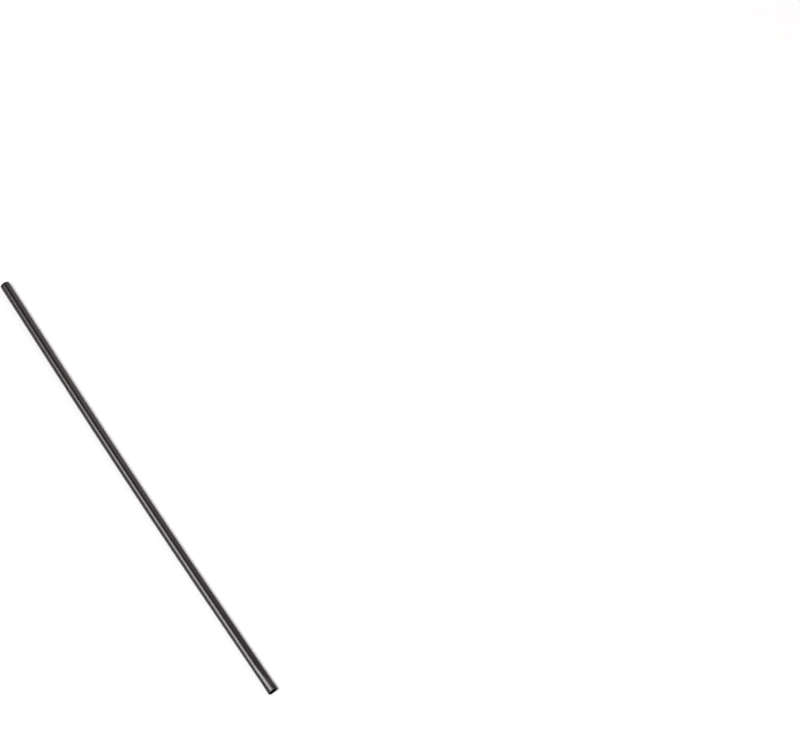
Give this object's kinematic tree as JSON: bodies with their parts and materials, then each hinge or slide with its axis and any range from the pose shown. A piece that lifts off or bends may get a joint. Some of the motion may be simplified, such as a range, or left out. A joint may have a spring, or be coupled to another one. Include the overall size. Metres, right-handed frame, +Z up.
{
  "type": "coffee stirrer straw",
  "caption": "Slim black plastic stirrer straw: a thin-walled extruded tube, open from mouth to mouth and very slightly bowed. One mouth is cut round, the other a little squeezed by the knife. It lies on its side.",
  "frame": {"origin": "under the middle of the straw's box, on the surface that it lies on", "axes": "+X along the straw from mouth to mouth, +Y across it on the hollow side of its bow, +Z up"},
  "size_m": [0.178, 0.0042, 0.0035],
  "materials": {
    "black_polypropylene": "satin black as it leaves the extruder, with fine lines along its length"
  },
  "bodies": {
    "root": {"straw_tube": "black_polypropylene"}
  },
  "joints": []
}
